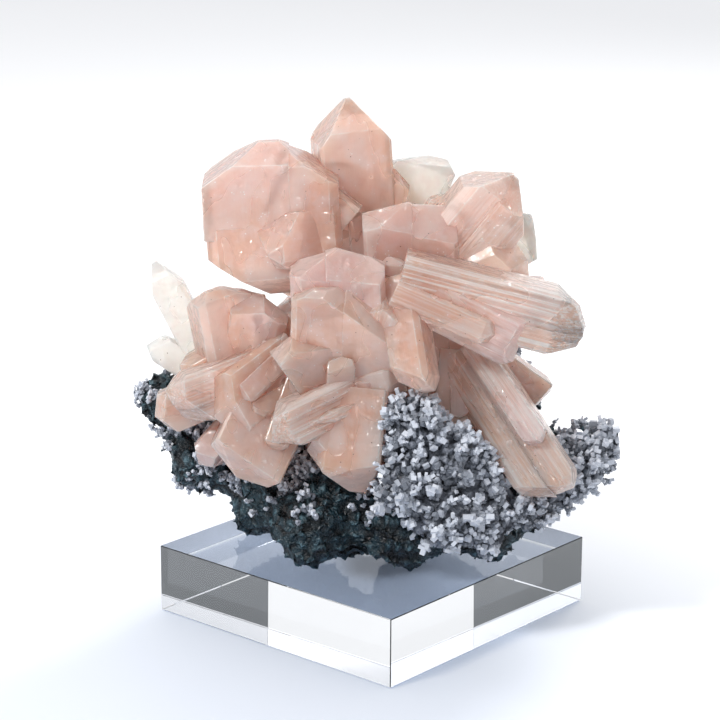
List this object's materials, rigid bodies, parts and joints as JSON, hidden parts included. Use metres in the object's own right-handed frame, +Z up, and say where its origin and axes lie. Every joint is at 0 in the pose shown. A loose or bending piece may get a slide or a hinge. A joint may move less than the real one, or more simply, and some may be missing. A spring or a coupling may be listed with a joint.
{
  "type": "stilbite mineral specimen",
  "caption": "Pink tabular stilbite crystals on a dark basalt matrix with a pale chalcedony crust, standing on a clear square display block.",
  "frame": {"origin": "centre of the display block's underside", "axes": "+Z up, the specimen's front towards -Y, +X to the front view's right; the block is turned 40.7 degrees about Z"},
  "size_m": [0.1265, 0.112, 0.1368],
  "materials": {
    "clear_acrylic": "clear cast acrylic with polished edges",
    "basalt_dark": "rough, dark teal to black",
    "stilbite_pink": "translucent, pearly, finely striated",
    "chalcedony_pale": "knobbly, waxy, fine sparkle"
  },
  "bodies": {
    "root": {"display_block": "clear_acrylic", "basalt_matrix": "basalt_dark", "stilbite_cluster": "stilbite_pink", "chalcedony_crust": "chalcedony_pale"}
  },
  "joints": []
}
